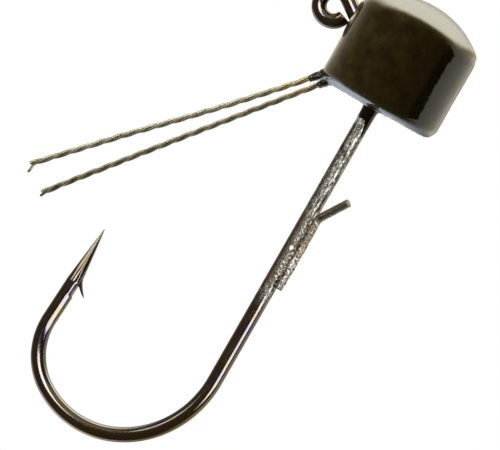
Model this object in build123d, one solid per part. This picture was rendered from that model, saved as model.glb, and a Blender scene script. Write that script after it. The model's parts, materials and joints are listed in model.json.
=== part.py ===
"""Finesse jig head: a painted lead head cast round a black nickel jig hook.

A wire bait keeper is soldered under the shank, and two twisted wire weed guard
whiskers are glued into sockets at the back of the head.  Millimetres.

Everything is laid out from the hook: the shank's centre line is z = 0, the back
face of the head is x = 0, the nose points to +X and the hook point is on the +Z
side.  TO_ROW then moves it all so that the centre of the line eye is the origin.
"""
import os
from math import asin, atan2, cos, degrees, radians, sin

from build123d import *

# hook wire
WIRE_D = 1.0
SHANK_END_X = -20.29        # where the straight shank turns into the bend
BEND_R = 6.8                # first arc of the bend, to the wire's centre line
BEND_TURN = 65.0            # degrees turned by it
HEEL_R = 6.0                # second arc, at the back of the bend
HEEL_TURN = 56.0
CROWN_R = 4.37              # third arc, from the bend into the point leg
LEG_LEAN = 3.6              # the point leg leans this many degrees towards the shank
LEG_LENGTH = 6.763          # from the end of the crown arc to the tip
POINT_LENGTH = 3.9          # ground cone at the tip
TIP_SET = 0.21              # the tip is off the leg's centre line, away from the shank
TIP_R = 0.03
BARB_START = 3.75           # from the tip
BARB_LENGTH = 0.71
BARB_HEIGHT = 0.69          # how far the barb stands off the wire
BARB_WIDTH = 0.42

# line eye, bent from the same wire
EYE_X = 4.52
EYE_Z = 5.52
EYE_R = 1.0                 # to the wire's centre line
STEM_ANGLE = 55.0           # the stem leaves the shank at this angle inside the head
STEM_BEND_R = 1.3
EYE_END_ANGLE = 252.0       # where the cut end closes against the stem
EYE_HOLE_R = 0.53           # the hole is burnished to a short round wall, 1.06 across

# head casting, a body of revolution about an axis just under the shank
HEAD_D = 8.55
HEAD_LENGTH = 7.63
HEAD_AXIS_Z = -0.28
NOSE_DOME_R = 6.3
NOSE_CORNER_R = 1.35
BACK_CORNER_R = 0.8

# bait keeper wire and its solder
KEEPER_D = 0.55
KEEPER_SPACING = 0.80       # shank centre to keeper centre, leaving a film of solder
KEEPER_SIDE = 28.0          # degrees round from straight below, towards -Y
KEEPER_START_X = -13.15
KEEPER_BEND_X = -7.95
KEEPER_BEND_R = 0.7
TAG_ANGLE = 41.0
TAG_LENGTH = 2.45
SOLDER_START_X = -12.85
SOLDER_END_X = -8.15
SOLDER_HALF_IN = 0.37       # half width against the shank
SOLDER_HALF_OUT = 0.24      # half width against the keeper

# weed guard whiskers: three strands laid together
STRAND_R = 0.086
LAY_R = 0.106               # strand centre to cable centre
LAY_PITCH = 3.45
CABLE_R = LAY_R + STRAND_R
ROOT = {"near": (0.24, -1.55, 3.51), "far": (0.25, 1.20, 3.58)}
TIP = {"near": (-14.20, -2.8, 17.25), "far": (-15.48, 2.8, 17.28)}
SOCKET_DEPTH = 2.6
SOCKET_R = 0.27
BEAD_R = 0.3
BEAD_LENGTH = 0.9           # glue bead outside the head
BEAD_SUNK = 0.5             # and how far it sinks below the root point
HINGE_GAP = 0.16            # bead to the free strands, so that they can bend

WIRE_R = WIRE_D / 2
KEEPER_R = KEEPER_D / 2
TO_ROW = Location((-EYE_X, 0, -EYE_Z))


def polar(centre, radius, angle):
    """Point in the X-Z plane at an angle from +X towards +Z."""
    x = centre[0] + radius * cos(radians(angle))
    z = centre[1] + radius * sin(radians(angle))
    return (x, z)


def arc(centre, radius, start, end):
    """Arc in the X-Z plane through its middle point."""
    ends = [polar(centre, radius, a) for a in (start, (start + end) / 2, end)]
    return ThreePointArc(*[(x, 0, z) for x, z in ends])


def straight(start, end):
    return Line((start[0], 0, start[1]), (end[0], 0, end[1]))


def along(path, radius):
    """Round wire swept along a path."""
    profile = Plane(origin=path @ 0, z_dir=path % 0) * Circle(radius)
    return sweep(profile, path=path)


def bend_arcs():
    """Bend from the shank to the leg: each arc's centre, radius and end angles, and the leg's foot."""
    crown_turn = 180 + LEG_LEAN - BEND_TURN - HEEL_TURN
    arcs = []
    place = (SHANK_END_X, 0)
    angle = 270
    for radius, turn in ((BEND_R, BEND_TURN), (HEEL_R, HEEL_TURN), (CROWN_R, crown_turn)):
        centre = polar(place, radius, angle + 180)
        arcs.append((centre, radius, angle, angle - turn))
        angle -= turn
        place = polar(centre, radius, angle)
    return arcs, place


def stem_points():
    """Where the stem meets the eye, and the corner where it leaves the shank line."""
    tangent = polar((EYE_X, EYE_Z), EYE_R, STEM_ANGLE - 90)
    run = tangent[1] / sin(radians(STEM_ANGLE))
    corner = (tangent[0] - run * cos(radians(STEM_ANGLE)), 0)
    return tangent, corner


def leg_frame(foot):
    """Frame on the leg's centre line, level with the tip: X back down the leg, Y away from the shank."""
    end = polar(foot, LEG_LENGTH, -LEG_LEAN)
    back = (-cos(radians(LEG_LEAN)), 0, sin(radians(LEG_LEAN)))
    return Plane(origin=(end[0], 0, end[1]), x_dir=back, z_dir=(0, 1, 0))


def make_point(frame):
    """Ground point, leaning away from the shank."""
    tip = Plane(origin=frame.origin + frame.y_dir * TIP_SET, z_dir=frame.x_dir)
    foot = Plane(origin=frame.origin + frame.x_dir * POINT_LENGTH, z_dir=frame.x_dir)
    return loft([tip * Circle(TIP_R), foot * Circle(WIRE_R)], ruled=True)


def make_hook():
    arcs, foot = bend_arcs()
    frame = leg_frame(foot)
    cone_foot = frame.origin + frame.x_dir * POINT_LENGTH
    tangent, corner = stem_points()
    setback = STEM_BEND_R * sin(radians(STEM_ANGLE)) / (1 + cos(radians(STEM_ANGLE)))
    stem_start = (corner[0] - setback, 0)
    stem_centre = (stem_start[0], STEM_BEND_R)
    stem_end = polar(stem_centre, STEM_BEND_R, 270 + STEM_ANGLE)
    path = Wire([
        straight((cone_foot.X, cone_foot.Z), foot),
        *[arc(centre, radius, end, start) for centre, radius, start, end in reversed(arcs)],
        straight((SHANK_END_X, 0), stem_start),
        arc(stem_centre, STEM_BEND_R, 270, 270 + STEM_ANGLE),
        straight(stem_end, tangent),
        arc((EYE_X, EYE_Z), EYE_R, STEM_ANGLE - 90, EYE_END_ANGLE),
    ])
    hole = Pos(EYE_X, 0, EYE_Z) * Rot(90, 0, 0) * Cylinder(EYE_HOLE_R, WIRE_D)
    return along(path, WIRE_R) - hole + make_point(frame) + make_barb(frame)


def make_barb(frame):
    """Spur sliced from the shank side of the leg, pointing back to the bend."""
    outline = Polyline(
        (BARB_START, -WIRE_R * 0.85),
        (BARB_START + BARB_LENGTH, -WIRE_R - BARB_HEIGHT),
        (BARB_START + BARB_LENGTH * 0.72, -WIRE_R * 0.6),
        close=True)
    return extrude(frame * make_face(outline), BARB_WIDTH / 2, both=True)


def make_head():
    """Round barrel with a domed nose, turned from its half outline."""
    radius = HEAD_D / 2
    dome_centre = HEAD_LENGTH - NOSE_DOME_R
    rim_angle = degrees(asin(radius / NOSE_DOME_R))
    rim_x = dome_centre + NOSE_DOME_R * cos(radians(rim_angle))
    outline = Polyline((HEAD_LENGTH, 0), (0, 0), (0, radius), (rim_x, radius))
    dome = CenterArc((dome_centre, 0), NOSE_DOME_R, 0, rim_angle)
    half = make_face(outline + dome)
    upper = half.vertices().group_by(Axis.Y)[-1].sort_by(Axis.X)
    half = fillet(upper[1], NOSE_CORNER_R)
    upper = half.vertices().filter_by(lambda v: v.Y > radius - 0.01).sort_by(Axis.X)
    half = fillet(upper[0], BACK_CORNER_R)
    turned = revolve(half, Axis.X)
    return Pos(0, 0, HEAD_AXIS_Z) * turned


def keeper_frame():
    """Frame on the keeper's line: X towards the head, Y straight away from the shank."""
    side = radians(KEEPER_SIDE)
    away = Vector(0, -sin(side), -cos(side))
    return Plane(origin=away * KEEPER_SPACING, x_dir=(1, 0, 0), z_dir=Vector(1, 0, 0).cross(away))


def make_keeper():
    """Straight wire along the shank, with a tag bent out towards the head."""
    tag_end_x = KEEPER_BEND_X + TAG_LENGTH * cos(radians(TAG_ANGLE))
    tag_end_y = TAG_LENGTH * sin(radians(TAG_ANGLE))
    path = FilletPolyline(
        (KEEPER_START_X, 0), (KEEPER_BEND_X, 0), (tag_end_x, tag_end_y), radius=KEEPER_BEND_R)
    return along(keeper_frame() * path, KEEPER_R)


def make_solder(hook, keeper):
    """Bead that fills the valleys on both sides of the keeper."""
    length = SOLDER_END_X - SOLDER_START_X
    section = Polygon(
        (0.28, -SOLDER_HALF_IN), (KEEPER_SPACING + 0.06, -SOLDER_HALF_OUT),
        (KEEPER_SPACING + 0.06, SOLDER_HALF_OUT), (0.28, SOLDER_HALF_IN), align=None)
    away = keeper_frame().y_dir
    plane = Plane(origin=(SOLDER_START_X, 0, 0), x_dir=away, z_dir=(1, 0, 0))
    return extrude(plane * section, length) - hook - keeper


def whisker_frame(name):
    """Frame at a whisker's root: Z runs out along the whisker."""
    root = Vector(*ROOT[name])
    tip = Vector(*TIP[name])
    return Plane(origin=root, z_dir=tip - root), (tip - root).length


def make_stub(frame):
    """Tinned end of the cable, held in the socket and out to the end of the bead."""
    length = SOCKET_DEPTH + BEAD_LENGTH
    return frame * Pos(0, 0, -SOCKET_DEPTH) * Cylinder(
        CABLE_R, length, align=(Align.CENTER, Align.CENTER, Align.MIN))


def make_glue(frame, stub):
    """Sleeve of glue in the socket with a rounded bead where the cable comes out."""
    low = (Align.CENTER, Align.CENTER, Align.MIN)
    sleeve = Pos(0, 0, -SOCKET_DEPTH) * Cylinder(SOCKET_R, SOCKET_DEPTH, align=low)
    bead = Pos(0, 0, -BEAD_SUNK) * Cylinder(BEAD_R, BEAD_SUNK + BEAD_LENGTH, align=low)
    outer = bead.edges().filter_by(GeomType.CIRCLE).sort_by(Axis.Z)[-1]
    bead = fillet(outer, (BEAD_R - CABLE_R) * 0.9)
    return frame * (sleeve + bead) - stub


def make_strand(frame, length, number):
    """One of the three strands, a helix from the glue bead to the tip."""
    start = BEAD_LENGTH + HINGE_GAP
    helix = Helix(LAY_PITCH, length - start, LAY_R)
    profile = Plane(origin=helix @ 0, z_dir=helix % 0) * Circle(STRAND_R)
    strand = sweep(profile, path=helix, is_frenet=True)
    return frame * Pos(0, 0, start) * Rot(0, 0, 120 * number) * strand


def build():
    """Name to solid, in the layout frame."""
    parts = {}
    parts["hook"] = make_hook()
    parts["bait_keeper"] = make_keeper()
    parts["keeper_solder"] = make_solder(parts["hook"], parts["bait_keeper"])
    head = make_head() - parts["hook"]
    for name in ROOT:
        frame, length = whisker_frame(name)
        stub = make_stub(frame)
        glue = make_glue(frame, stub)
        head = head - glue - stub
        parts[f"guard_stub_{name}"] = stub
        parts[f"guard_glue_{name}"] = glue
        for number in range(3):
            parts[f"guard_strand_{name}_{number + 1}"] = make_strand(frame, length, number)
    parts["head_casting"] = head
    return parts


os.makedirs("parts", exist_ok=True)
for part_name, solid in build().items():
    placed = TO_ROW * solid
    export_step(placed, f"parts/{part_name}.step")
    print(part_name, len(placed.solids()), round(placed.volume, 4))

for whisker in ROOT:
    root_frame, whisker_length = whisker_frame(whisker)
    pivot = TO_ROW * Pos(*(root_frame.origin + root_frame.z_dir * BEAD_LENGTH))
    lean = degrees(atan2(root_frame.z_dir.Z, -root_frame.z_dir.X))
    print(whisker, "pivot mm", pivot.position, "length", round(whisker_length, 2), "angle", round(lean, 1))
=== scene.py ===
import json
from math import atan2, cos, exp, pi, radians, sin, sqrt, tan

import bpy
from mathutils import Matrix, Vector, noise


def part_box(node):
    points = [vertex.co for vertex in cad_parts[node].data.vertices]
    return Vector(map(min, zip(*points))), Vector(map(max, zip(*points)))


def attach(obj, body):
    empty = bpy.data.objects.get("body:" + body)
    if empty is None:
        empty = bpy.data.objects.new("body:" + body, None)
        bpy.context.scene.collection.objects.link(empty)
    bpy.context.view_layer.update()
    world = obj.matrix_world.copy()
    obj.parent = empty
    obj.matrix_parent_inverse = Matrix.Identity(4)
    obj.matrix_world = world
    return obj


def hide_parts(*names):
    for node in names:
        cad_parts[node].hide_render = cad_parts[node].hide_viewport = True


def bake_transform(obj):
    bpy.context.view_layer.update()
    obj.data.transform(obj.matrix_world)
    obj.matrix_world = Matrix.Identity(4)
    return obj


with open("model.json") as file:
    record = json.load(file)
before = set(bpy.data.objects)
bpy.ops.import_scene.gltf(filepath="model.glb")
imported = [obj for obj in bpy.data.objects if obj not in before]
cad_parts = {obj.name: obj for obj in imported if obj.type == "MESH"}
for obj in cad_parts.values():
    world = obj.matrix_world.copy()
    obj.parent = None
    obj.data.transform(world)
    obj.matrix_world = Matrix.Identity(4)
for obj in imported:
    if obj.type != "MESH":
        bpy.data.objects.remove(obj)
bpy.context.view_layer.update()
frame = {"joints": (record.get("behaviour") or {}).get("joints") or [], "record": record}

# A finesse jig head: hook, painted head, bait keeper and two cable weed guards.
# Lengths are millimetres until a mesh is made.  The CAD boxes and the record give the places.
MM = 0.001
BODY = "hook_and_head"
SIDES = ("near", "far")
ALONG = Vector((1, 0, 0))       # along the shank, towards the nose
ACROSS = Vector((0, 1, 0))
UP = Vector((0, 0, 1))          # towards the hook point


def box(node):
    """Corners of a CAD node in millimetres."""
    low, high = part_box(node)
    return Vector(low) / MM, Vector(high) / MM


HOOK_LOW, HOOK_HIGH = box("hook")
HEAD_LOW, HEAD_HIGH = box("head_casting")
KEEPER_LOW, KEEPER_HIGH = box("bait_keeper")
SOLDER_LOW, SOLDER_HIGH = box("keeper_solder")
MOUNTS = {m["name"]: Vector(m["pos_m"]) / MM for m in frame["record"]["mounts"]}
PIVOTS = {j["child"]: Vector(j["pos_m"]) / MM for j in frame["joints"]}

# hook
WIRE_R = (HOOK_HIGH.y - HOOK_LOW.y) / 2
SHANK_Z = HOOK_LOW.z + WIRE_R
BEND_R = 6.8                    # the bend is three arcs; the crown turns whatever is left
BEND_TURN = 65.0
HEEL_R = 6.0
HEEL_TURN = 56.0
CROWN_R = 4.37
LEG_LEAN = 3.6                  # degrees off the shank's direction
LEG_LENGTH = 6.763
POINT_LENGTH = 3.9
POINT_POWER = 0.92              # below 1 the ground point is fuller than a cone
TIP_SET = 0.21                  # the tip leans this far away from the shank
TIP_R = 0.02
FACET_MIDDLE = radians(163.0)   # angles round the wire start across the hook's plane
FACET_TURN = radians(27.0)      # each facet faces this far to one side of the middle
FACET_DEPTH = 0.915             # a facet's distance from the axis, as a share of the radius
FACET_SPAN = (0.0, 0.4, 0.55 * POINT_LENGTH, POINT_LENGTH)      # from the tip: start, full, fading, end
FLAT_TURN = radians(143.0)
FLAT_DEPTH = 0.955
FLAT_SPAN = (4.6, 5.0, 7.2, 8.1)
SCAR_DEPTH = 0.12               # dent left in the leg where the barb was lifted
SCAR_SPAN = (3.95, 4.1, 4.7, 4.95)
CUT_EDGE_R = 0.06
FINE_STEP = 0.07                # between rings of the ground point, the leg and the strands
SHANK_END_X = HOOK_LOW.x + WIRE_R + HEEL_R - (BEND_R - HEEL_R) * cos(radians(270 - BEND_TURN))
EYE = (MOUNTS["line_eye"].x, MOUNTS["line_eye"].z)
EYE_R = 1.0                     # of the ring's centre line
STEM_ANGLE = 55.0
STEM_BEND_R = 1.3
EYE_END_ANGLE = 252.0

# head
HEAD_R = (HEAD_HIGH.y - HEAD_LOW.y) / 2
HEAD_AXIS_Z = (HEAD_LOW.z + HEAD_HIGH.z) / 2
BACK_X = HEAD_LOW.x
NOSE_X = HEAD_HIGH.x
NOSE_DOME_R = 6.3
NOSE_CORNER_R = 1.35
BACK_CORNER_R = 0.8
SEAM_HEIGHT = 0.030
SEAM_WIDTH = 0.10
SHANK_MENISCUS = 0.30           # how far the paint climbs each wire that leaves the head
STEM_MENISCUS = 0.03
GUARD_MENISCUS = 0.18
GUARD_NECK_R = 0.28
GUARD_ROOT = 0.9                # a cable's line starts this far before its pivot
WIRE_HIDDEN = 2.5               # a wire still lifts the paint this far behind its start

# paint that has run onto the shank
RUN_LENGTH = 0.95
RUN_RAGGED = 0.22
DRIP_LENGTH = 1.15
DRIP_TURN = 0.86 * pi           # round the shank from its top, over the side towards the camera
DRIP_WIDTH = 0.55
RUN_HIDDEN = 0.4                # it starts this far inside the head
RUN_SKIN = 0.030
RUN_POOL = 0.10

# keeper
KEEPER_R = 0.275
KEEPER_SPACING = 0.80
KEEPER_SIDE = radians(28.0)
TAG_ANGLE = 41.0
TAG_LENGTH = 2.45
KEEPER_BEND_R = 0.7
KEEPER_EDGE_R = 0.03
TAG_REACH = TAG_LENGTH * cos(radians(TAG_ANGLE))    # along the shank, from the tag's root to its end
DROP_SETBACK = 10.4             # from the head's back to a drop of solder, painted near-white as a highlight
DROP_TURN = radians(15.0)       # round the shank, below its side
AWAY = Vector((0, -sin(KEEPER_SIDE), -cos(KEEPER_SIDE)))
BESIDE = ALONG.cross(AWAY)

# weed guard
STRAND_R = 0.092
LAY_R = 0.108
LAY_PITCH = 3.45
STRAND_START = -0.6             # places along a whisker are measured from its pivot
# at the cut tip, each strand in turn: how much shorter it is, how far it stands off the lay
# (1 is tight) and how far it droops
STRAND_SHORT = {"near": (0.10, 0.15, -0.16), "far": (0.0, 0.12, 0.22)}
STRAND_SPLAY = {"near": (1.0, 1.0, 1.0), "far": (1.6, 1.0, 1.5)}
STRAND_DROOP = {"near": (0.0, 0.0, 0.34), "far": (0.0, 0.10, 0.0)}
BEAD_START = -1.7
BEAD_END = 0.12
BEAD_R = 0.33
BEAD_TAPER = 0.10
BEAD_LUMP = 0.045


# ---------------------------------------------------------------- mesh tools
def add_mesh(name, points, faces, material, crease=50.0):
    """Mesh object from points in millimetres, smooth apart from sharp corners."""
    mesh = bpy.data.meshes.new(name)
    mesh.from_pydata([tuple(Vector(p) * MM) for p in points], [], faces)
    mesh.validate()
    mesh.update()
    mesh.polygons.foreach_set("use_smooth", [True] * len(mesh.polygons))
    mesh.set_sharp_from_angle(angle=radians(crease))
    mesh.materials.append(material)
    piece = bpy.data.objects.new(name, mesh)
    bpy.context.scene.collection.objects.link(piece)
    return piece


def ring_faces(rings, around):
    """Quads between rings of points, numbered ring by ring."""
    faces = []
    for ring in range(rings - 1):
        for step in range(around):
            after = (step + 1) % around
            low = ring * around
            high = low + around
            faces.append((low + step, low + after, high + after, high + step))
    return faces


def close_ends(points, faces, around):
    """Caps the first and last ring with a fan about their middles."""
    last = len(points) - around
    first_middle = sum((Vector(p) for p in points[:around]), Vector()) / around
    last_middle = sum((Vector(p) for p in points[last:]), Vector()) / around
    points.append(first_middle)
    points.append(last_middle)
    for step in range(around):
        after = (step + 1) % around
        faces.append((after, step, len(points) - 2))
        faces.append((last + step, last + after, len(points) - 1))


def tube_mesh(path, section, around, start_normal):
    """Rings along a path; section(index, angle) gives the radius at that place."""
    points = []
    normal = Vector(start_normal)
    for index, centre in enumerate(path):
        before = path[max(index - 1, 0)]
        after = path[min(index + 1, len(path) - 1)]
        tangent = (after - before).normalized()
        normal = (normal - tangent * normal.dot(tangent)).normalized()
        side = tangent.cross(normal)
        for step in range(around):
            angle = 2 * pi * step / around
            spoke = normal * cos(angle) + side * sin(angle)
            points.append(centre + spoke * section(index, angle))
    faces = ring_faces(len(path), around)
    close_ends(points, faces, around)
    return points, faces


def polar(centre, radius, angle):
    """Point (x, z) at an angle in degrees round a centre."""
    x = centre[0] + radius * cos(radians(angle))
    z = centre[1] + radius * sin(radians(angle))
    return (x, z)


def in_plane(point):
    """Point of the hook's plane as a vector."""
    return Vector((point[0], 0, point[1]))


def run(start, end, step):
    """Points from start up to, but without, end."""
    count = max(1, round((end - start).length / step))
    return [start.lerp(end, i / count) for i in range(count)]


def turn(centre, radius, start, end, step):
    """Points of an arc in the hook's plane, without its end."""
    count = max(2, round(abs(radians(end - start)) * radius / step))
    angles = [start + (end - start) * i / count for i in range(count)]
    return [in_plane(polar(centre, radius, angle)) for angle in angles]


def lengths_along(path):
    """Distance from the start of a path to each of its points."""
    total = [0.0]
    for before, after in zip(path, path[1:]):
        total.append(total[-1] + (after - before).length)
    return total


def smooth(low, high, value):
    """0 below low, 1 above high, with a soft ramp between."""
    t = min(max((value - low) / (high - low), 0.0), 1.0)
    return t * t * (3 - 2 * t)


def plateau(start, full, fading, end, value):
    """1 from full to fading, 0 before start and after end, with soft ramps between."""
    return smooth(start, full, value) * (1 - smooth(fading, end, value))


def edge_wear(from_end, edge_r):
    """How much a rounded edge takes off the radius this far from the end."""
    inside = max(0.0, edge_r - from_end)
    return edge_r - sqrt(max(0.0, edge_r ** 2 - inside ** 2))


# ---------------------------------------------------------------- materials
def new_material(name):
    """Material, its node tree and its shader."""
    material = bpy.data.materials.new(name)
    material.use_nodes = True
    return material, material.node_tree, material.node_tree.nodes["Principled BSDF"]


def object_point(tree, stretch=(1, 1, 1)):
    """Object coordinates in millimetres, stretched."""
    place = tree.nodes.new("ShaderNodeTexCoord")
    mapping = tree.nodes.new("ShaderNodeMapping")
    mapping.inputs["Scale"].default_value = [s / MM for s in stretch]
    tree.links.new(place.outputs["Object"], mapping.inputs["Vector"])
    return mapping.outputs["Vector"]


def noise_value(tree, size, detail=3.0, roughness=0.5, stretch=(1, 1, 1)):
    """Noise whose features are about size millimetres across."""
    texture = tree.nodes.new("ShaderNodeTexNoise")
    texture.inputs["Scale"].default_value = 1.0 / size
    texture.inputs["Detail"].default_value = detail
    texture.inputs["Roughness"].default_value = roughness
    tree.links.new(object_point(tree, stretch), texture.inputs["Vector"])
    return texture.outputs["Fac"]


def ramp(tree, value, stops):
    """Colour ramp from (place, colour) stops."""
    node = tree.nodes.new("ShaderNodeValToRGB")
    elements = node.color_ramp.elements
    while len(elements) < len(stops):
        elements.new(0.5)
    for element, (place, colour) in zip(elements, stops):
        element.position = place
        element.color = (*colour, 1)
    tree.links.new(value, node.inputs["Fac"])
    return node.outputs["Color"]


def remap(tree, value, low, high, to_low, to_high):
    """Value carried smoothly from the range low to high into the range to_low to to_high."""
    node = tree.nodes.new("ShaderNodeMapRange")
    node.interpolation_type = "SMOOTHSTEP"
    for name, number in zip(("From Min", "From Max", "To Min", "To Max"), (low, high, to_low, to_high)):
        node.inputs[name].default_value = number
    tree.links.new(value, node.inputs["Value"])
    return node.outputs["Result"]


def mix_colours(tree, factor, first, second, blend="MIX"):
    """First colour at factor 0, blended with the second as the factor rises."""
    node = tree.nodes.new("ShaderNodeMix")
    node.data_type = "RGBA"
    node.blend_type = blend
    for socket, value in (("Factor_Float", factor), ("A_Color", first), ("B_Color", second)):
        target = next(i for i in node.inputs if i.identifier == socket)
        if isinstance(value, (int, float)):
            target.default_value = value
        elif isinstance(value, tuple):
            target.default_value = (*value, 1)
        else:
            tree.links.new(value, target)
    return next(o for o in node.outputs if o.identifier == "Result_Color")


def calculate(tree, operation, first, second=0.0):
    """Arithmetic on sockets or plain numbers."""
    node = tree.nodes.new("ShaderNodeMath")
    node.operation = operation
    for socket, value in zip(node.inputs, (first, second)):
        if isinstance(value, (int, float)):
            socket.default_value = value
        else:
            tree.links.new(value, socket)
    return node.outputs["Value"]


def bump(tree, height, depth):
    """Bump of about depth millimetres."""
    node = tree.nodes.new("ShaderNodeBump")
    node.inputs["Strength"].default_value = 1.0
    node.inputs["Distance"].default_value = depth * MM
    tree.links.new(height, node.inputs["Height"])
    return node.outputs["Normal"]


def axis_value(tree, axis):
    """One object coordinate, in millimetres."""
    split = tree.nodes.new("ShaderNodeSeparateXYZ")
    tree.links.new(object_point(tree), split.inputs["Vector"])
    return split.outputs[axis]


def direction_value(tree, vector_socket, direction):
    """How far a vector reaches along a direction."""
    node = tree.nodes.new("ShaderNodeVectorMath")
    node.operation = "DOT_PRODUCT"
    tree.links.new(vector_socket, node.inputs[0])
    node.inputs[1].default_value = direction
    return node.outputs["Value"]


def near_point(tree, centre, inner, outer):
    """1 within inner millimetres of a point, fading to 0 at outer."""
    node = tree.nodes.new("ShaderNodeVectorMath")
    node.operation = "DISTANCE"
    tree.links.new(object_point(tree), node.inputs[0])
    node.inputs[1].default_value = centre
    return remap(tree, node.outputs["Value"], inner, outer, 1.0, 0.0)


def head_paint():
    """Thick gloss coat over mottled dark olive paint."""
    material, tree, shader = new_material("olive_gloss_paint")
    cloud = noise_value(tree, 0.9, detail=5.0, roughness=0.65)
    fleck = noise_value(tree, 0.16, detail=3.0, roughness=0.7)
    base = ramp(tree, cloud, ((0.34, (0.030, 0.018, 0.004)), (0.50, (0.072, 0.050, 0.009)),
                              (0.66, (0.120, 0.090, 0.022))))
    light = remap(tree, fleck, 0.60, 0.80, 0.0, 0.6)
    colour = mix_colours(tree, light, base, (0.155, 0.125, 0.055))
    tree.links.new(colour, shader.inputs["Base Color"])
    tree.links.new(remap(tree, fleck, 0.2, 0.8, 0.45, 0.65), shader.inputs["Roughness"])
    shader.inputs["Coat Weight"].default_value = 1.0
    shader.inputs["Coat Roughness"].default_value = 0.035
    shader.inputs["Coat IOR"].default_value = 1.55
    shader.inputs["Specular IOR Level"].default_value = 0.08
    peel = noise_value(tree, 0.55, detail=2.0)
    normal = bump(tree, peel, 0.012)
    tree.links.new(normal, shader.inputs["Normal"])
    tree.links.new(normal, shader.inputs["Coat Normal"])
    return material


def run_paint():
    """Glossy black where the head's paint has run onto the shank."""
    material, tree, shader = new_material("paint_run")
    cloud = noise_value(tree, 0.35, detail=3.0)
    colour = ramp(tree, cloud, ((0.35, (0.002, 0.002, 0.003)), (0.65, (0.006, 0.005, 0.004))))
    tree.links.new(colour, shader.inputs["Base Color"])
    tree.links.new(remap(tree, cloud, 0.3, 0.7, 0.07, 0.20), shader.inputs["Roughness"])
    tree.links.new(bump(tree, noise_value(tree, 0.3), 0.02), shader.inputs["Normal"])
    return material


def painted_edge_reflection_tint(tree, where):
    """Painted reflection tint by which way the wire faces: straw on the outer side of the bend and blue on
    the inner, the other way about on the eye.
    """
    straw = (0.85, 0.62, 0.26)
    blue = (0.42, 0.48, 0.74)
    split = tree.nodes.new("ShaderNodeSeparateXYZ")
    tree.links.new(tree.nodes.new("ShaderNodeTexCoord").outputs["Normal"], split.inputs["Vector"])
    swapped = remap(tree, where, BACK_X, NOSE_X, 1.0, -1.0)
    facing = calculate(tree, "MULTIPLY", split.outputs["X"], swapped)
    return mix_colours(tree, remap(tree, facing, -0.7, 0.7, 0.0, 1.0), straw, blue)


def heat_zone(tree, where):
    """1 along the shank that the soldering heated, 0 elsewhere."""
    rising = remap(tree, where, KEEPER_LOW.x - 2.0, KEEPER_LOW.x - 0.2, 0.0, 1.0)
    falling = remap(tree, where, BACK_X + 0.5, BACK_X + 1.5, 1.0, 0.0)
    return calculate(tree, "MULTIPLY", rising, falling)


def heated_colour(tree, where, grain):
    """Speckled grey, brown where the solder lies, and a painted blue-white highlight on the upper side of
    the shank by the head.
    """
    speckle = ramp(tree, grain, ((0.38, (0.055, 0.052, 0.045)), (0.50, (0.19, 0.185, 0.165)),
                                 (0.64, (0.46, 0.46, 0.43))))
    tag_root = KEEPER_HIGH.x - TAG_REACH
    rising = remap(tree, where, KEEPER_LOW.x - 0.1, KEEPER_LOW.x + 0.1, 0.0, 1.0)
    falling = remap(tree, where, tag_root - 0.8, tag_root, 0.8, 0.0)
    soldered = calculate(tree, "MULTIPLY", rising, falling)
    colour = mix_colours(tree, soldered, speckle, (0.150, 0.128, 0.100))
    # painted highlight: a blue-white patch on the upper side of the shank just behind the head
    by_head = remap(tree, where, BACK_X - 1.6, BACK_X - 1.1, 0.0, 0.8)
    upper_side = remap(tree, axis_value(tree, "Z"), SHANK_Z, SHANK_Z + 0.1, 0.0, 1.0)
    painted_glint_by_head = calculate(tree, "MULTIPLY", by_head, upper_side)
    return mix_colours(tree, painted_glint_by_head, colour, (0.80, 0.88, 1.0))


def black_nickel():
    """Polished black nickel wire, speckled where the soldering heat reached it."""
    material, tree, shader = new_material("black_nickel")
    where = axis_value(tree, "X")
    heated = heat_zone(tree, where)
    tint = noise_value(tree, 1.8, detail=2.0)
    clean = ramp(tree, tint, ((0.30, (0.125, 0.115, 0.150)), (0.50, (0.145, 0.130, 0.110)),
                              (0.72, (0.155, 0.130, 0.075))))
    grain = noise_value(tree, 0.19, detail=4.0, roughness=0.7, stretch=(0.5, 1, 1))
    colour = mix_colours(tree, heated, clean, heated_colour(tree, where, grain))
    tree.links.new(colour, shader.inputs["Base Color"])
    shader.inputs["Metallic"].default_value = 1.0
    # the specular tint is a painted reflection: straw on the bend's outer side, blue on its inner side
    tree.links.new(painted_edge_reflection_tint(tree, where), shader.inputs["Specular Tint"])
    polish = remap(tree, noise_value(tree, 0.4), 0.3, 0.7, 0.10, 0.17)
    matt = remap(tree, grain, 0.35, 0.65, 0.42, 0.24)
    rough = tree.nodes.new("ShaderNodeMix")
    tree.links.new(heated, rough.inputs["Factor"])
    tree.links.new(polish, rough.inputs["A"])
    tree.links.new(matt, rough.inputs["B"])
    tree.links.new(rough.outputs["Result"], shader.inputs["Roughness"])
    depth = calculate(tree, "MULTIPLY", grain, remap(tree, heated, 0.0, 1.0, 0.03, 1.0))
    tree.links.new(bump(tree, depth, 0.030), shader.inputs["Normal"])
    return material


def keeper_metal():
    """Tinned wire, speckled all over, darker on the cut end of its tag."""
    material, tree, shader = new_material("keeper_wire")
    grain = noise_value(tree, 0.12, detail=4.0, roughness=0.75)
    colour = ramp(tree, grain, ((0.34, (0.09, 0.085, 0.07)), (0.52, (0.24, 0.23, 0.20)),
                                (0.66, (0.62, 0.61, 0.56))))
    tag_way = ALONG * cos(radians(TAG_ANGLE)) + AWAY * sin(radians(TAG_ANGLE))
    along_tag = direction_value(tree, object_point(tree), tag_way)
    cut = keeper_path()[-1].dot(tag_way)
    end_face = remap(tree, along_tag, cut - 0.05, cut - 0.02, 0.0, 0.75)
    colour = mix_colours(tree, end_face, colour, (0.04, 0.04, 0.035))
    tree.links.new(colour, shader.inputs["Base Color"])
    shader.inputs["Metallic"].default_value = 1.0
    tree.links.new(remap(tree, grain, 0.35, 0.65, 0.45, 0.25), shader.inputs["Roughness"])
    tree.links.new(bump(tree, grain, 0.03), shader.inputs["Normal"])
    return material


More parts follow.
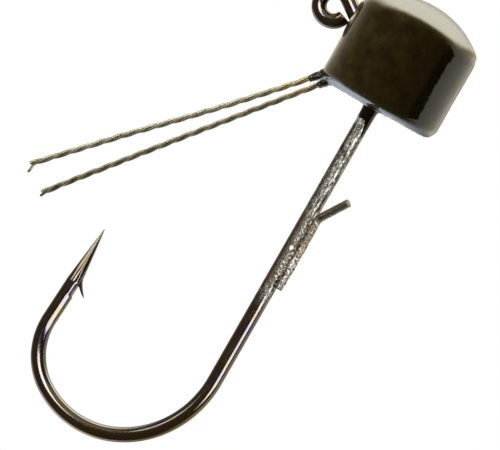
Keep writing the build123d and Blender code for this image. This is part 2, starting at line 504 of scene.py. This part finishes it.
def solder_colour(tree, grain, on_keeper):
    """Brown film on the shank, grey speckle with brown stains on the keeper, and two near-white spots
    painted in as highlights.
    """
    grey = ramp(tree, grain, ((0.38, (0.07, 0.065, 0.055)), (0.50, (0.22, 0.21, 0.18)),
                              (0.62, (0.75, 0.74, 0.68))))
    stain = noise_value(tree, 0.7, detail=3.0)
    middle = keeper_path()[0].lerp(keeper_path()[-1], 0.52)
    patches = remap(tree, stain, 0.42, 0.60, 0.0, 0.9)
    stained = calculate(tree, "MULTIPLY", patches, near_point(tree, middle, 0.6, 1.9))
    speckled = mix_colours(tree, stained, grey, (0.21, 0.14, 0.065))
    colour = mix_colours(tree, on_keeper, (0.135, 0.120, 0.098), speckled)
    root = keeper_path()[0] + ALONG * (KEEPER_HIGH.x - KEEPER_LOW.x - TAG_REACH)
    drop = Vector((BACK_X - DROP_SETBACK, -WIRE_R * cos(DROP_TURN), SHANK_Z - WIRE_R * sin(DROP_TURN)))
    # painted highlights: near-white spots at the tag's root and on the drop of solder
    for centre, inner, outer in ((root - AWAY * 0.25, 0.25, 0.55), (drop, 0.10, 0.16)):
        colour = mix_colours(tree, near_point(tree, centre, inner, outer), colour, (0.92, 0.90, 0.86))
    return colour


def solder_metal():
    """Solder, smooth on the shank and lumpy on the keeper."""
    material, tree, shader = new_material("solder")
    grain = noise_value(tree, 0.15, detail=4.0, roughness=0.7)
    beside = direction_value(tree, object_point(tree), AWAY)
    shank = SHANK_Z * AWAY.z
    on_keeper = remap(tree, beside, shank + 0.15, shank + 0.45, 0.0, 1.0)
    tree.links.new(solder_colour(tree, grain, on_keeper), shader.inputs["Base Color"])
    shader.inputs["Metallic"].default_value = 1.0
    tree.links.new(remap(tree, grain, 0.35, 0.65, 0.44, 0.22), shader.inputs["Roughness"])
    depth = calculate(tree, "MULTIPLY", grain, remap(tree, on_keeper, 0.0, 1.0, 0.25, 1.0))
    tree.links.new(bump(tree, depth, 0.04), shader.inputs["Normal"])
    return material


def guard_wire():
    """Drawn wire with a warm tarnish."""
    material, tree, shader = new_material("guard_wire")
    tarnish = noise_value(tree, 0.8, detail=4.0)
    colour = ramp(tree, tarnish, ((0.30, (0.27, 0.26, 0.175)), (0.52, (0.38, 0.37, 0.275)),
                                  (0.72, (0.50, 0.49, 0.40))))
    root = PIVOTS["whisker_near"].x
    gilt = remap(tree, axis_value(tree, "X"), root - 2.4, root - 0.8, 0.0, 0.7)
    patchy = remap(tree, noise_value(tree, 0.5), 0.40, 0.55, 0.0, 1.0)
    colour = mix_colours(tree, calculate(tree, "MULTIPLY", gilt, patchy), colour, (0.40, 0.29, 0.09))
    tree.links.new(colour, shader.inputs["Base Color"])
    shader.inputs["Metallic"].default_value = 1.0
    line = noise_value(tree, 0.12, detail=2.0)
    tree.links.new(remap(tree, line, 0.3, 0.7, 0.36, 0.48), shader.inputs["Roughness"])
    tree.links.new(bump(tree, line, 0.002), shader.inputs["Normal"])
    return material


def bead_glue():
    """Dark glossy glue, a little lumpy."""
    material, tree, shader = new_material("guard_glue")
    cloud = noise_value(tree, 0.25, detail=3.0)
    colour = ramp(tree, cloud, ((0.35, (0.004, 0.004, 0.006)), (0.65, (0.030, 0.018, 0.008))))
    tree.links.new(colour, shader.inputs["Base Color"])
    tree.links.new(remap(tree, cloud, 0.3, 0.7, 0.08, 0.22), shader.inputs["Roughness"])
    shader.inputs["Coat Weight"].default_value = 1.0
    shader.inputs["Coat Roughness"].default_value = 0.04
    normal = bump(tree, noise_value(tree, 0.22), 0.06)
    tree.links.new(normal, shader.inputs["Normal"])
    tree.links.new(normal, shader.inputs["Coat Normal"])
    return material


# ---------------------------------------------------------------- hook
def bend_arcs():
    """Bend from the shank to the leg: each arc's centre, radius and end angles, and the leg's foot."""
    crown_turn = 180 + LEG_LEAN - BEND_TURN - HEEL_TURN
    arcs = []
    place = (SHANK_END_X, SHANK_Z)
    angle = 270
    for radius, turned in ((BEND_R, BEND_TURN), (HEEL_R, HEEL_TURN), (CROWN_R, crown_turn)):
        centre = polar(place, radius, angle + 180)
        arcs.append((centre, radius, angle, angle - turned))
        angle -= turned
        place = polar(centre, radius, angle)
    return arcs, place


def leg_axes(foot):
    """End of the leg's centre line, the way back down it and the way towards the shank."""
    end = in_plane(polar(foot, LEG_LENGTH, -LEG_LEAN))
    back = (in_plane(foot) - end).normalized()
    inward = Vector((back.z, 0, -back.x))
    if inward.z > 0:
        inward = -inward
    return end, back, inward


def hook_stations():
    """Centre line from the tip of the point to the cut end of the eye."""
    arcs, foot = bend_arcs()
    end, back, inward = leg_axes(foot)
    tangent = polar(EYE, EYE_R, STEM_ANGLE - 90)
    reach = (tangent[1] - SHANK_Z) / sin(radians(STEM_ANGLE))
    corner_x = tangent[0] - reach * cos(radians(STEM_ANGLE))
    setback = STEM_BEND_R * sin(radians(STEM_ANGLE)) / (1 + cos(radians(STEM_ANGLE)))
    stem_centre = (corner_x - setback, SHANK_Z + STEM_BEND_R)
    stem_end = polar(stem_centre, STEM_BEND_R, 270 + STEM_ANGLE)
    path = run(end - inward * TIP_SET, end + back * POINT_LENGTH, FINE_STEP)
    path += run(end + back * POINT_LENGTH, in_plane(foot), FINE_STEP)
    for centre, radius, start, stop in reversed(arcs):
        path += turn(centre, radius, stop, start, 0.08)
    path += run(Vector((SHANK_END_X, 0, SHANK_Z)), Vector((stem_centre[0], 0, SHANK_Z)), 0.2)
    path += turn(stem_centre, STEM_BEND_R, 270, 270 + STEM_ANGLE, 0.1)
    path += run(in_plane(stem_end), in_plane(tangent), 0.1)
    path += turn(EYE, EYE_R, STEM_ANGLE - 90, EYE_END_ANGLE, 0.05)
    path.append(in_plane(polar(EYE, EYE_R, EYE_END_ANGLE)))
    return path


def flattened(radius, slope, depth, share):
    """Radius once a flat is cut; slope is the cosine of the angle from the flat's middle."""
    if slope <= 0.5:
        return radius
    return radius - share * max(0.0, radius - depth * radius / slope)


def hook_radius(place, angle):
    """Radius of the hook's wire this far from its tip, at an angle round it."""
    radius = WIRE_R
    if place < POINT_LENGTH:
        radius = TIP_R + (WIRE_R - TIP_R) * (place / POINT_LENGTH) ** POINT_POWER
    ground = plateau(*FACET_SPAN, place)
    for side in (-1, 1):
        slope = cos(angle - FACET_MIDDLE + side * FACET_TURN)
        radius = flattened(radius, slope, FACET_DEPTH, ground)
    radius = flattened(radius, cos(angle - FLAT_TURN), FLAT_DEPTH, plateau(*FLAT_SPAN, place))
    shank_side = max(0.0, sin(angle))
    return radius - SCAR_DEPTH * plateau(*SCAR_SPAN, place) * shank_side ** 5


def make_hook(material):
    """The whole wire: faceted point, leg, bend, shank, stem and eye."""
    path = hook_stations()
    for share in (0.75, 0.5, 0.25, 0.1):
        cut = path[-1] + (path[-2] - path[-1]).normalized() * CUT_EDGE_R * share
        path.insert(len(path) - 1, cut)
    along = lengths_along(path)

    def section(index, angle):
        place = along[index]
        return hook_radius(place, angle) - edge_wear(along[-1] - place, CUT_EDGE_R)

    points, faces = tube_mesh(path, section, 48, ACROSS)
    hook = add_mesh("hook_wire", points, faces, material)
    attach(hook, BODY)
    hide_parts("hook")
    return hook


def make_barb(material):
    """Spur lifted from the shank side of the leg, pointing back towards the bend."""
    _, foot = bend_arcs()
    end, back, inward = leg_axes(foot)
    # places along the leg from its end, and heights above its centre line
    spine = ((3.45, 0.26), (3.72, 0.38), (3.92, 0.54), (4.10, 0.72),
             (4.25, 0.89), (4.37, 1.04), (4.46, 1.17))
    route = [end + back * place + inward * height for place, height in spine]
    last = len(route) - 1

    def section(index, angle):
        left = 1 - index / last
        wide = 0.03 + 0.22 * left ** 0.8
        thick = 0.018 + 0.15 * left ** 0.9
        return 1 / sqrt((cos(angle) / wide) ** 2 + (sin(angle) / thick) ** 2)

    points, faces = tube_mesh(route, section, 20, ACROSS)
    barb = add_mesh("hook_barb", points, faces, material, crease=70)
    smoother = barb.modifiers.new("rounder", "SUBSURF")
    smoother.levels = smoother.render_levels = 2
    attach(barb, BODY)
    return barb


# ---------------------------------------------------------------- head
def outline_arc(centre_x, centre_r, radius, first, last, count):
    """Rounded stretch of the outline between two normal angles, without its end."""
    points = []
    for i in range(count):
        facing = first + (last - first) * i / count
        points.append((centre_x + radius * cos(facing), centre_r + radius * sin(facing), facing))
    return points


def head_outline(step):
    """Half outline from the middle of the back to the nose: (x, radius, normal angle)."""
    dome_x = NOSE_X - NOSE_DOME_R
    inner = NOSE_DOME_R - NOSE_CORNER_R
    corner_x = dome_x + sqrt(inner ** 2 - (HEAD_R - NOSE_CORNER_R) ** 2)
    rim = atan2(HEAD_R - NOSE_CORNER_R, corner_x - dome_x)
    flat = HEAD_R - BACK_CORNER_R
    outline = [(BACK_X, i * step, pi) for i in range(1, round(flat / step))]
    start = BACK_X + BACK_CORNER_R
    corner_step = step / 1.6
    count = round(BACK_CORNER_R * pi / 2 / corner_step)
    outline += outline_arc(start, flat, BACK_CORNER_R, pi, pi / 2, count)
    count = round((corner_x - start) / step)
    outline += [(start + (corner_x - start) * i / count, HEAD_R, pi / 2) for i in range(count)]
    count = round(NOSE_CORNER_R * (pi / 2 - rim) / corner_step)
    outline += outline_arc(corner_x, HEAD_R - NOSE_CORNER_R, NOSE_CORNER_R, pi / 2, rim, count)
    outline += outline_arc(dome_x, 0.0, NOSE_DOME_R, rim, 0.0, round(NOSE_DOME_R * rim / step))
    return outline


def distance_to_line(point, start, direction):
    """Distance of a point from a line."""
    offset = point - start
    return (offset - direction * offset.dot(direction)).length


def paint_swell(point, wires):
    """How far the paint stands out here: casting seam, waviness and a meniscus round each wire."""
    wobble = 0.018 * noise.noise(point * 0.55 + Vector((3, 1, 7)))
    ripple = 0.004 * noise.noise(point * 2.1)
    seam = SEAM_HEIGHT * exp(-(point.y / SEAM_WIDTH) ** 2)
    rise = 0.0
    for start, direction, radius, reach in wires:
        gap = distance_to_line(point, start, direction) - radius
        near = min(max(gap / reach, 0.0), 1.0)
        if (point - start).dot(direction) > -WIRE_HIDDEN:
            rise = max(rise, reach * (1 - sqrt(max(0.0, 1 - (1 - near) ** 2))))
    return wobble + ripple + seam + rise


def make_head(material, whiskers):
    """Painted casting, turned from its outline and swollen where paint gathers."""
    around = 240
    outline = head_outline(0.06)
    stem_way = Vector((cos(radians(STEM_ANGLE)), 0, sin(radians(STEM_ANGLE))))
    wires = [
        (Vector((BACK_X, 0, SHANK_Z)), -ALONG, WIRE_R, SHANK_MENISCUS),
        (in_plane(polar(EYE, EYE_R, STEM_ANGLE - 90)) - stem_way, stem_way, WIRE_R, STEM_MENISCUS),
    ]
    for name in SIDES:
        pivot, way, _ = whiskers[name]
        wires.append((pivot - way * GUARD_ROOT, way, GUARD_NECK_R, GUARD_MENISCUS))
    points = []
    for x, radius, facing in outline:
        for step in range(around):
            angle = 2 * pi * step / around
            spoke = Vector((0, cos(angle), sin(angle)))
            point = Vector((x, 0, HEAD_AXIS_Z)) + spoke * radius
            normal = ALONG * cos(facing) + spoke * sin(facing)
            points.append(point + normal * paint_swell(point, wires))
    faces = ring_faces(len(outline), around)
    close_ends(points, faces, around)
    head = add_mesh("painted_head", points, faces, material, crease=80)
    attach(head, BODY)
    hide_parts("head_casting")
    return head


def run_edge(angle):
    """How far the paint has run down the shank, at an angle round it from its upper side."""
    drip = DRIP_LENGTH * exp(-((angle - DRIP_TURN) / DRIP_WIDTH) ** 2)
    ragged = RUN_RAGGED * noise.noise(Vector((cos(angle) * 1.6, sin(angle) * 1.6, 4)))
    return RUN_LENGTH + drip + ragged


def make_paint_run(material):
    """Thin skin of paint round the top of the shank, with a pointed drip on one side."""
    around = 64
    rings = 40
    points = []
    for ring in range(rings):
        share = ring / (rings - 1)
        for step in range(around):
            angle = 2 * pi * step / around
            spoke = UP * cos(angle) - ACROSS * sin(angle)
            x = BACK_X + RUN_HIDDEN - (run_edge(angle) + RUN_HIDDEN) * share
            thinning = max(0.0, (share - 0.86) / 0.14)
            skin = RUN_SKIN * sqrt(max(0.0, 1 - thinning ** 2)) - 0.006
            pool = RUN_POOL * exp(-max(0.0, BACK_X - x) / 0.16)
            points.append(Vector((x, 0, SHANK_Z)) + spoke * (WIRE_R + skin + pool))
    faces = ring_faces(rings, around)
    close_ends(points, faces, around)
    skin = add_mesh("paint_run", points, faces, material, crease=80)
    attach(skin, BODY)
    return skin


# ---------------------------------------------------------------- keeper
def keeper_path():
    """Centre line of the keeper from its cut end to the end of its tag."""
    line = Vector((0, 0, SHANK_Z)) + AWAY * KEEPER_SPACING
    start = line + ALONG * KEEPER_LOW.x
    tag_way = ALONG * cos(radians(TAG_ANGLE)) + AWAY * sin(radians(TAG_ANGLE))
    tag_run = TAG_REACH + KEEPER_R * sin(radians(TAG_ANGLE))
    corner = line + ALONG * (KEEPER_HIGH.x - tag_run)
    cut = KEEPER_BEND_R * sin(radians(TAG_ANGLE)) / (1 + cos(radians(TAG_ANGLE)))
    bend_start = corner - ALONG * cut
    centre = bend_start + AWAY * KEEPER_BEND_R
    path = run(start, bend_start, 0.1)
    for i in range(8):
        a = radians(TAG_ANGLE) * i / 8
        path.append(centre + ALONG * KEEPER_BEND_R * sin(a) - AWAY * KEEPER_BEND_R * cos(a))
    end = corner + tag_way * TAG_LENGTH
    path += run(corner + tag_way * cut, end, 0.1)
    path.append(end)
    return path


def make_keeper(material):
    """Slightly uneven wire with rounded cut ends."""
    path = keeper_path()
    for share in (0.3, 0.12):
        path.insert(1, path[0].lerp(path[1], share))
        path.insert(len(path) - 1, path[-1].lerp(path[-2], share))
    along = lengths_along(path)

    def section(index, angle):
        from_end = min(along[index], along[-1] - along[index])
        wear = edge_wear(from_end, KEEPER_EDGE_R)
        lump = 0.010 * noise.noise(path[index] * 2.2 + Vector((cos(angle), sin(angle), 0)))
        return KEEPER_R - wear + lump

    points, faces = tube_mesh(path, section, 32, AWAY)
    keeper = add_mesh("keeper_wire", points, faces, material)
    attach(keeper, BODY)
    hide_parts("bait_keeper")
    return keeper


def make_solder(material):
    """Lumpy film over the keeper and the side of the shank, tapered at both ends."""
    start = SOLDER_LOW.x - 0.2
    end = SOLDER_HIGH.x + 0.5
    rings = 110
    around = 60
    points = []
    for ring in range(rings):
        x = start + (end - start) * ring / (rings - 1)
        fade = plateau(start, start + 0.5, end - 0.9, end, x)
        for step in range(around):
            points.append(solder_point(x, 2 * pi * step / around, fade))
    faces = ring_faces(rings, around)
    close_ends(points, faces, around)
    solder = add_mesh("solder_film", points, faces, material, crease=80)
    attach(solder, BODY)
    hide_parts("keeper_solder")
    return solder


def solder_point(x, angle, fade):
    """Outline round both wires as seen from between them, with filled valleys."""
    middle = 0.52
    spoke = Vector((cos(angle), sin(angle)))
    reach = max(circle_exit(spoke, -middle, WIRE_R), circle_exit(spoke, KEEPER_SPACING - middle, KEEPER_R))
    back = smooth(-0.35, -0.9, spoke.x)
    valley = 0.112 * exp(-((abs(angle - pi) - pi * 0.47) / 0.22) ** 2)
    grain = noise.noise(Vector((x * 1.3, spoke.x * 1.6, spoke.y * 1.6 + 5)))
    fine = noise.noise(Vector((x * 4.0, spoke.x * 3.0, spoke.y * 3.0)))
    film = 0.030 + 0.030 * grain + 0.012 * fine
    thickness = (film + valley) * fade - 0.05 * (1 - fade) - 0.14 * back
    radius = max(reach + thickness, 0.05)
    centre = Vector((x, 0, SHANK_Z)) + AWAY * middle
    return centre + AWAY * spoke.x * radius + BESIDE * spoke.y * radius


def circle_exit(spoke, centre, radius):
    """Distance from the origin along spoke to where it leaves a circle centred on the first axis."""
    along = spoke.x * centre
    inside = radius ** 2 - centre ** 2 + along ** 2
    if inside <= 0:
        return 0.05
    return max(0.05, along + sqrt(inside))


# ---------------------------------------------------------------- weed guard
def whisker_line(name):
    """Pivot, direction and length of a whisker, from its strands' boxes."""
    boxes = [box(f"guard_strand_{name}_{number}") for number in (1, 2, 3)]
    pivot = PIVOTS[f"whisker_{name}"]
    low_x = min(low.x for low, _ in boxes)
    high_z = max(high.z for _, high in boxes)
    if name == "near":
        side_y = min(low.y for low, _ in boxes)
    else:
        side_y = max(high.y for _, high in boxes)
    inset = LAY_R + STRAND_R
    tip = Vector((low_x + inset * 0.7, side_y, high_z - inset * 0.7))
    tip.y -= inset * (1 if side_y > 0 else -1)
    way = tip - pivot
    return pivot, way.normalized(), way.length


def bow(name, share):
    """Sideways set of the cable at a share of its length, in millimetres."""
    if name == "near":
        return 0.09 * sin(pi * (share * 1.6 - 1.0)) if share < 0.625 else 0.0
    return 0.03 * sin(pi * share)


def strand_path(name, number, whisker):
    """Helix of one strand round the bowed cable line, loosening at the tip."""
    pivot, way, length = whisker
    outward = (UP - way * UP.dot(way)).normalized()
    side = way.cross(outward)
    short = STRAND_SHORT[name][number - 1]
    splay = STRAND_SPLAY[name][number - 1]
    droop = STRAND_DROOP[name][number - 1]
    stop = length - short
    count = round((stop - STRAND_START) / FINE_STEP)
    path = []
    for i in range(count + 1):
        place = STRAND_START + (stop - STRAND_START) * i / count
        share = min(max(place / length, 0.0), 1.0)
        angle = -2 * pi * place / LAY_PITCH + 2 * pi * number / 3
        loose = 1 + (splay - 1) * smooth(length - 1.3, length, place)
        reach = LAY_R * loose
        centre = pivot + way * place + outward * bow(name, share)
        centre -= outward * droop * smooth(length - 0.45, length + 0.2, place)
        path.append(centre + outward * reach * cos(angle) + side * reach * sin(angle))
    return path


def make_strands(name, whisker, material):
    """The three strands of one whisker."""
    strands = []
    for number in (1, 2, 3):
        path = strand_path(name, number, whisker)
        points, faces = tube_mesh(path, lambda index, angle: STRAND_R, 14, ACROSS)
        strand = add_mesh(f"whisker_{name}_strand_{number}", points, faces, material)
        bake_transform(strand)
        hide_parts(f"guard_strand_{name}_{number}")
        if number == 1:
            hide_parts(f"guard_stub_{name}")
        strands.append(strand)
    return strands


def make_bead(name, whisker, material):
    """Glue bead where the cable leaves the head, thinning out along the cable."""
    pivot, way, _ = whisker
    rings = 44
    start = pivot + way * BEAD_START
    end = pivot + way * BEAD_END
    path = [start.lerp(end, i / (rings - 1)) for i in range(rings)]

    def section(index, angle):
        share = index / (rings - 1)
        radius = BEAD_R - BEAD_TAPER * share ** 1.5
        lump = noise.noise(Vector((share * 4.5, cos(angle) * 1.3, sin(angle) * 1.3 + len(name))))
        tail = sqrt(max(0.0, 1 - smooth(0.90, 1.0, share)))
        return max(0.02, (radius + BEAD_LUMP * lump) * tail)

    points, faces = tube_mesh(path, section, 40, ACROSS)
    bead = add_mesh(f"guard_bead_{name}", points, faces, material, crease=80)
    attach(bead, BODY)
    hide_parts(f"guard_glue_{name}")
    return bead


# ---------------------------------------------------------------- studio
TILT = radians(15.0)            # the camera is this far below the side of the hook's plane
ROLL = radians(60.2)            # the shank climbs to the right at this angle in the picture
CAMERA_DISTANCE = 450.0
PICTURE_WIDTH = 32.26           # millimetres across the picture at the object
CENTRE_ALONG = -14.975          # the middle of the picture, along the shank and up the view
CENTRE_UP = -2.31
LIGHT_DISTANCE = 600.0
FLOOR_HALF = 3.0                # metres, like the floor's height
FLOOR_HEIGHT = -0.25
DIFFUSE_SHARE = 0.07            # of the surround's light reaches matt surfaces
ROOM_LEFT = (0.16, 0.11, 0.06)
ROOM_MIDDLE = (0.13, 0.09, 0.035)
ROOM_RIGHT = (0.012, 0.010, 0.010)
TO_CAMERA = Vector((0, -cos(TILT), -sin(TILT)))
VIEW_UP = Vector((0, -sin(TILT), cos(TILT)))
PICTURE_RIGHT = ALONG * cos(ROLL) - VIEW_UP * sin(ROLL)
PICTURE_UP = ALONG * sin(ROLL) + VIEW_UP * cos(ROLL)


def add_camera():
    """Long lens, square on to the picture's middle."""
    target = ALONG * CENTRE_ALONG + VIEW_UP * CENTRE_UP
    data = bpy.data.cameras.new("camera")
    data.sensor_width = 36.0
    data.lens = data.sensor_width * CAMERA_DISTANCE / PICTURE_WIDTH
    data.clip_start = 0.01
    data.clip_end = 10.0
    camera = bpy.data.objects.new("camera", data)
    bpy.context.scene.collection.objects.link(camera)
    matrix = Matrix((PICTURE_RIGHT, PICTURE_UP, TO_CAMERA)).transposed().to_4x4()
    matrix.translation = (target + TO_CAMERA * CAMERA_DISTANCE) * MM
    camera.matrix_world = matrix
    bpy.context.scene.camera = camera


def add_floor():
    """Wide pale floor well below the hanging jig."""
    turns = ((-1, -1), (1, -1), (1, 1), (-1, 1))
    corners = [(x * FLOOR_HALF, y * FLOOR_HALF, FLOOR_HEIGHT) for x, y in turns]
    mesh = bpy.data.meshes.new("floor")
    mesh.from_pydata(corners, [], [(0, 1, 2, 3)])
    material, _, shader = new_material("floor_paint")
    shader.inputs["Base Color"].default_value = (0.5, 0.5, 0.5, 1)
    shader.inputs["Emission Color"].default_value = (1.0, 1.0, 1.0, 1)
    shader.inputs["Emission Strength"].default_value = 0.82
    mesh.materials.append(material)
    floor = bpy.data.objects.new("floor", mesh)
    bpy.context.scene.collection.objects.link(floor)
    floor.visible_glossy = False
    floor.visible_diffuse = False


def dim_room(tree, upper):
    """Colour of the room in front of the jig, darkest low down."""
    low = mix_colours(tree, remap(tree, upper, -0.88, -0.76, 0.0, 1.0), ROOM_RIGHT, ROOM_MIDDLE)
    return mix_colours(tree, remap(tree, upper, 0.0, 0.6, 0.0, 1.0), low, ROOM_LEFT)


def sweep_side(tree, toward, room, start, full, power, edge, bright):
    """One side of the sweep: the room up to start, then from the edge colour to the bright one at full.
    The power says how its light changes with depth: above 0 it dims away from the camera."""
    reach = remap(tree, toward, start, full, 0.0, 1.0)
    depth = calculate(tree, "MAXIMUM", calculate(tree, "ADD", toward, 1.0), 0.05)
    fall = calculate(tree, "POWER", depth, power)
    lit = mix_colours(tree, 1.0, mix_colours(tree, reach, edge, bright), fall, blend="MULTIPLY")
    return mix_colours(tree, reach, room, lit)


def sweep_colour(tree, toward, nose_share, upper_share, room):
    """The sweep's four sides, each fading into the last, and the warm line in one corner."""
    cream = (0.98, 0.92, 0.77)
    gold = (0.80, 0.60, 0.22)
    low_share = remap(tree, upper_share, -0.7, 0.3, 0.0, 1.0)
    below = mix_colours(tree, low_share, (1.8, 1.9, 2.0), (6.0, 6.6, 7.8))
    colour = sweep_side(tree, toward, room, 0.27, 0.21, -0.3, cream, cream)
    upper_side = sweep_side(tree, toward, room, 0.26, -1.10, -0.5, (0.40, 0.36, 0.24), (0.48, 0.46, 0.38))
    colour = mix_colours(tree, remap(tree, upper_share, 0.1, 0.7, 0.0, 1.0), colour, upper_side)
    nose_side = sweep_side(tree, toward, room, 0.16, -0.42, 0.85, (5.2, 3.9, 1.3), (8.6, 8.4, 7.2))
    colour = mix_colours(tree, remap(tree, nose_share, 0.45, 0.96, 0.0, 1.0), colour, nose_side)
    back_side = sweep_side(tree, toward, room, 0.02, -0.60, 0.85, (1.6, 1.9, 2.9), below)
    colour = mix_colours(tree, remap(tree, nose_share, -0.4, -0.90, 0.0, 1.0), colour, back_side)
    line = remap(tree, nose_share, 0.42, 0.64, 0.0, 1.0)
    for value, low, high, first, last in (
            (nose_share, 0.64, 0.86, 1.0, 0.0), (upper_share, -0.5, -0.1, 0.85, 0.0),
            (toward, 0.1, -0.4, 0.0, 1.0)):
        line = calculate(tree, "MULTIPLY", line, remap(tree, value, low, high, first, last))
    return mix_colours(tree, line, colour, gold)


def add_studio():
    """Bright sweep behind the jig, a dim room in front of it, and white where the camera sees past it."""
    world = bpy.data.worlds.new("studio")
    bpy.context.scene.world = world
    world.use_nodes = True
    tree = world.node_tree
    tree.nodes.clear()
    place = tree.nodes.new("ShaderNodeTexCoord").outputs["Generated"]
    toward = direction_value(tree, place, TO_CAMERA)
    upper = direction_value(tree, place, VIEW_UP)
    squared = calculate(tree, "MULTIPLY", toward, toward)
    rest = calculate(tree, "MAXIMUM", calculate(tree, "SUBTRACT", 1.0, squared), 0.001)
    slant = calculate(tree, "SQRT", rest)
    nose_share = calculate(tree, "DIVIDE", direction_value(tree, place, ALONG), slant)
    upper_share = calculate(tree, "DIVIDE", upper, slant)
    colour = sweep_colour(tree, toward, nose_share, upper_share, dim_room(tree, upper))
    path = tree.nodes.new("ShaderNodeLightPath")
    colour = mix_colours(tree, path.outputs["Is Camera Ray"], colour, (1.0, 1.0, 1.0))
    background = tree.nodes.new("ShaderNodeBackground")
    output = tree.nodes.new("ShaderNodeOutputWorld")
    tree.links.new(colour, background.inputs["Color"])
    strength = remap(tree, path.outputs["Is Diffuse Ray"], 0.0, 1.0, 1.0, DIFFUSE_SHARE)
    tree.links.new(strength, background.inputs["Strength"])
    tree.links.new(background.outputs["Background"], output.inputs["Surface"])


def add_softbox(name, across, down, half_width, half_height, radiance, receivers, behind=False):
    """Rectangular light far off that only some pieces see.  It is placed by the picture's directions
    and sized by the angles it fills."""
    deep = sqrt(max(0.0, 1 - across ** 2 - down ** 2)) * (-1 if behind else 1)
    facing = PICTURE_RIGHT * across - PICTURE_UP * down + TO_CAMERA * deep
    side = (PICTURE_RIGHT - facing * PICTURE_RIGHT.dot(facing)).normalized()
    data = bpy.data.lights.new(name, "AREA")
    data.shape = "RECTANGLE"
    data.size = 2 * LIGHT_DISTANCE * MM * tan(radians(half_width))
    data.size_y = 2 * LIGHT_DISTANCE * MM * tan(radians(half_height))
    data.energy = radiance * pi * data.size * data.size_y
    light = bpy.data.objects.new(name, data)
    bpy.context.scene.collection.objects.link(light)
    matrix = Matrix((side, facing.cross(side), facing)).transposed().to_4x4()
    matrix.translation = (ALONG * CENTRE_ALONG + facing * LIGHT_DISTANCE) * MM
    light.matrix_world = matrix
    light.visible_camera = False
    group = bpy.data.collections.new(name)
    for piece in receivers:
        group.objects.link(piece)
    light.light_linking.receiver_collection = group
    return light


def add_lights(metal, painted):
    """Strips that draw the highlights on the wire, and glare-free fills that show the paint's colour."""
    add_softbox("shank_strip", 0.52, 0.36, 15.0, 11.0, 6.5, metal)
    add_softbox("bend_strip", 0.05, -0.40, 16.0, 12.0, 7.5, metal)
    add_softbox("eye_strip", -0.58, -0.60, 8.0, 8.0, 4.0, metal)
    add_softbox("top_glow", 0.15, -0.84, 30.0, 14.0, 0.6, metal)
    for name, across, down, radiance, behind in (
            ("paint_fill", -0.76, -0.44, 1.5, False), ("back_fill", 0.0, 0.0, 3.0, True)):
        fill = add_softbox(name, across, down, 20.0, 20.0, radiance, painted, behind)
        fill.visible_glossy = False


# ---------------------------------------------------------------- assembly
def build():
    """Camera, pieces, floor, surround and lights."""
    add_camera()
    nickel = black_nickel()
    whiskers = {name: whisker_line(name) for name in SIDES}
    wire = guard_wire()
    glue = bead_glue()
    painted = [make_head(head_paint(), whiskers)]
    metal = [make_hook(nickel), make_barb(nickel), make_keeper(keeper_metal()), make_solder(solder_metal())]
    painted.append(make_paint_run(run_paint()))
    for name in SIDES:
        metal += make_strands(name, whiskers[name], wire)
        metal.append(make_bead(name, whiskers[name], glue))
    add_floor()
    add_studio()
    add_lights(metal, painted)
    bpy.context.scene.view_settings.view_transform = "Standard"


build()
